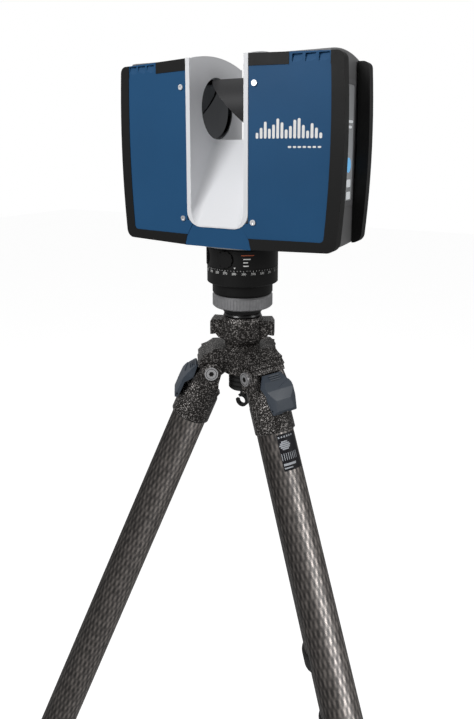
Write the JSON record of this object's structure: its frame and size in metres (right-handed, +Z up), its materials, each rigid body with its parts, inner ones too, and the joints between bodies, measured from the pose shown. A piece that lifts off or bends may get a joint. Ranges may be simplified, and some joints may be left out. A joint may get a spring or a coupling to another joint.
{
  "type": "terrestrial laser scanner",
  "caption": "Surveying laser scanner with a slotted blue head and spinning mirror, on an indexing rotator and a folding carbon tripod.",
  "frame": {"origin": "on the vertical pan axis, at floor level under the tripod", "axes": "+Z up along the pan axis; -Y the side of the scanner that carries the front covers at rest; +X towards the display end"},
  "size_m": [0.8324, 0.7551, 1.3412],
  "materials": {
    "blue_panel": "satin moulded, mid blue",
    "black_bumper": "soft matt black",
    "white_casting": "white powder coat over a casting",
    "grey_housing": "satin grey",
    "screw_steel": "plain",
    "display_frame": "satin black",
    "display_glass": "glossy",
    "window_glass": "glossy black",
    "mirror_face": "polished first-surface coating",
    "black_anodised": "matt black anodised",
    "motor_steel": "plain",
    "circuit_board": "green laminate",
    "battery_case": "matt black",
    "silver_plate": "turned",
    "knurled_grey": "grey anodised, knurled rim",
    "black_plug": "matt",
    "hammertone": "speckled hammer finish over a casting",
    "slate_tab": "satin slate grey",
    "carbon": "woven carbon fibre under clear lacquer",
    "lock_rubber": "matt"
  },
  "bodies": {
    "spider": {"spider": "hammertone", "leg_pivot_bolts": "screw_steel"},
    "column": {"centre_column": "silver_plate", "column_end_cap": "black_plug", "top_disc": "knurled_grey", "index_base": "black_anodised"},
    "collar": {"locking_collar": "hammertone"},
    "hook": {"weight_hook": "motor_steel"},
    "drum": {"index_drum": "black_anodised", "scanner_mount_plate": "silver_plate"},
    "selector": {"selector_knob": "black_anodised"},
    "drum_lock": {"index_lock": "black_anodised"},
    "head": {"chassis": "white_casting", "front_left_panel": "blue_panel", "front_right_panel": "blue_panel", "rear_left_panel": "blue_panel", "rear_right_panel": "blue_panel", "front_bumpers": "black_bumper", "rear_bumpers": "black_bumper", "skirts": "blue_panel", "cover_screws": "screw_steel", "left_end_housing": "grey_housing", "right_end_housing": "grey_housing", "display_bezel": "display_frame", "display_glass": "display_glass", "laser_window": "window_glass", "laser_module": "black_anodised", "mirror_motor": "motor_steel", "main_board": "circuit_board", "battery_pack": "battery_case", "pan_drive": "motor_steel"},
    "rotor": {"mirror_rotor": "black_anodised", "mirror_plate": "mirror_face"},
    "button": {"power_button": "display_frame"},
    "battery_flap": {"battery_door": "grey_housing"},
    "card_flap": {"card_cover": "grey_housing"},
    "right_leg": {"right_leg_casting": "hammertone", "right_leg_upper_tube": "carbon"},
    "right_tab": {"right_leg_angle_tab": "slate_tab"},
    "right_upper_lock": {"right_leg_upper_lock": "lock_rubber"},
    "right_middle": {"right_leg_middle_tube": "carbon"},
    "right_lower_lock": {"right_leg_lower_lock": "lock_rubber"},
    "right_lower": {"right_leg_lower_tube": "carbon", "right_leg_foot": "lock_rubber"},
    "rear_leg": {"rear_leg_casting": "hammertone", "rear_leg_upper_tube": "carbon"},
    "rear_tab": {"rear_leg_angle_tab": "slate_tab"},
    "rear_upper_lock": {"rear_leg_upper_lock": "lock_rubber"},
    "rear_middle": {"rear_leg_middle_tube": "carbon"},
    "rear_lower_lock": {"rear_leg_lower_lock": "lock_rubber"},
    "rear_lower": {"rear_leg_lower_tube": "carbon", "rear_leg_foot": "lock_rubber"},
    "left_leg": {"left_leg_casting": "hammertone", "left_leg_upper_tube": "carbon"},
    "left_tab": {"left_leg_angle_tab": "slate_tab"},
    "left_upper_lock": {"left_leg_upper_lock": "lock_rubber"},
    "left_middle": {"left_leg_middle_tube": "carbon"},
    "left_lower_lock": {"left_leg_lower_lock": "lock_rubber"},
    "left_lower": {"left_leg_lower_tube": "carbon", "left_leg_foot": "lock_rubber"}
  },
  "joints": [
    {"name": "column_slide", "type": "slide", "parent": "spider", "child": "column", "axis": [0, 0, 1], "range_m": [0, 0.035]},
    {"name": "collar_turn", "type": "hinge", "parent": "spider", "child": "collar", "pos_m": [0, 0, 1.06966], "axis": [0, 0, 1], "range_deg": [0, 50]},
    {"name": "hook_pull", "type": "slide", "parent": "column", "child": "hook", "axis": [0, 0, -1], "range_m": [0, 0.008], "stiffness_N_per_m": 400, "springref_m": -0.004},
    {"name": "index_turn", "type": "hinge", "parent": "column", "child": "drum", "pos_m": [0, 0, 1.14566], "axis": [0, 0, 1], "continuous": true},
    {"name": "selector_turn", "type": "hinge", "parent": "drum", "child": "selector", "pos_m": [0, -0.032, 1.1461], "axis": [0, -1, 0], "range_deg": [-150, 150]},
    {"name": "drum_lock_turn", "type": "hinge", "parent": "drum", "child": "drum_lock", "pos_m": [-0.02451, -0.02057, 1.1461], "axis": [-0.766, -0.6428, 0], "range_deg": [0, 90]},
    {"name": "pan", "type": "hinge", "parent": "drum", "child": "head", "pos_m": [0, 0, 1.15766], "axis": [0, 0, 1], "continuous": true},
    {"name": "mirror_spin", "type": "hinge", "parent": "head", "child": "rotor", "pos_m": [0.06, 0, 1.29165], "axis": [1, 0, 0], "continuous": true},
    {"name": "power_press", "type": "slide", "parent": "head", "child": "button", "axis": [-1, 0, 0], "range_m": [0, 0.0012], "stiffness_N_per_m": 800, "springref_m": -0.001},
    {"name": "battery_door_hinge", "type": "hinge", "parent": "head", "child": "battery_flap", "pos_m": [-0.10566, 0, 1.24886], "axis": [0, 1, 0], "range_deg": [0, 110]},
    {"name": "card_cover_hinge", "type": "hinge", "parent": "head", "child": "card_flap", "pos_m": [-0.10566, 0, 1.30286], "axis": [0, 1, 0], "range_deg": [0, 110]},
    {"name": "right_leg_fold", "type": "hinge", "parent": "spider", "child": "right_leg", "pos_m": [0.03061, -0.0148, 1.02696], "axis": [0.4352, 0.9003, 0], "range_deg": [0, 21]},
    {"name": "right_tab_pull", "type": "hinge", "parent": "right_leg", "child": "right_tab", "pos_m": [0.06222, -0.03008, 1.00438], "axis": [0.4352, 0.9003, 0], "range_deg": [0, 13], "stiffness_Nm_per_rad": 0.3, "springref_deg": -14.32},
    {"name": "right_upper_lock_twist", "type": "hinge", "parent": "right_leg", "child": "right_upper_lock", "pos_m": [0.25786, -0.12466, 0.43231], "axis": [0.3518, -0.1701, -0.9205], "range_deg": [0, 60]},
    {"name": "right_middle_slide", "type": "slide", "parent": "right_leg", "child": "right_middle", "axis": [0.3518, -0.1701, -0.9205], "range_m": [-0.17, 0.25]},
    {"name": "right_lower_lock_twist", "type": "hinge", "parent": "right_middle", "child": "right_lower_lock", "pos_m": [0.34088, -0.16479, 0.21507], "axis": [0.3518, -0.1701, -0.9205], "range_deg": [0, 60]},
    {"name": "right_lower_slide", "type": "slide", "parent": "right_middle", "child": "right_lower", "axis": [0.3518, -0.1701, -0.9205], "range_m": [-0.16, 0.25]},
    {"name": "rear_leg_fold", "type": "hinge", "parent": "spider", "child": "rear_leg", "pos_m": [-0.00166, 0.03396, 1.02696], "axis": [-0.9988, -0.0488, 0], "range_deg": [0, 21]},
    {"name": "rear_tab_pull", "type": "hinge", "parent": "rear_leg", "child": "rear_tab", "pos_m": [-0.00338, 0.06903, 1.00438], "axis": [-0.9988, -0.0488, 0], "range_deg": [0, 13], "stiffness_Nm_per_rad": 0.3, "springref_deg": -14.32},
    {"name": "rear_upper_lock_twist", "type": "hinge", "parent": "rear_leg", "child": "rear_upper_lock", "pos_m": [-0.01399, 0.28607, 0.43231], "axis": [-0.0191, 0.3903, -0.9205], "range_deg": [0, 60]},
    {"name": "rear_middle_slide", "type": "slide", "parent": "rear_leg", "child": "rear_middle", "axis": [-0.0191, 0.3903, -0.9205], "range_m": [-0.17, 0.25]},
    {"name": "rear_lower_lock_twist", "type": "hinge", "parent": "rear_middle", "child": "rear_lower_lock", "pos_m": [-0.0185, 0.37817, 0.21507], "axis": [-0.0191, 0.3903, -0.9205], "range_deg": [0, 60]},
    {"name": "rear_lower_slide", "type": "slide", "parent": "rear_middle", "child": "rear_lower", "axis": [-0.0191, 0.3903, -0.9205], "range_m": [-0.16, 0.25]},
    {"name": "left_leg_fold", "type": "hinge", "parent": "spider", "child": "left_leg", "pos_m": [-0.02812, -0.01911, 1.02696], "axis": [0.5621, -0.8271, 0], "range_deg": [0, 21]},
    {"name": "left_tab_pull", "type": "hinge", "parent": "left_leg", "child": "left_tab", "pos_m": [-0.05716, -0.03885, 1.00438], "axis": [0.5621, -0.8271, 0], "range_deg": [0, 13], "stiffness_Nm_per_rad": 0.3, "springref_deg": -14.32},
    {"name": "left_upper_lock_twist", "type": "hinge", "parent": "left_leg", "child": "left_upper_lock", "pos_m": [-0.23689, -0.16099, 0.43231], "axis": [-0.3232, -0.2196, -0.9205], "range_deg": [0, 60]},
    {"name": "left_middle_slide", "type": "slide", "parent": "left_leg", "child": "left_middle", "axis": [-0.3232, -0.2196, -0.9205], "range_m": [-0.17, 0.25]},
    {"name": "left_lower_lock_twist", "type": "hinge", "parent": "left_middle", "child": "left_lower_lock", "pos_m": [-0.31315, -0.21282, 0.21507], "axis": [-0.3232, -0.2196, -0.9205], "range_deg": [0, 60]},
    {"name": "left_lower_slide", "type": "slide", "parent": "left_middle", "child": "left_lower", "axis": [-0.3232, -0.2196, -0.9205], "range_m": [-0.16, 0.25]}
  ]
}
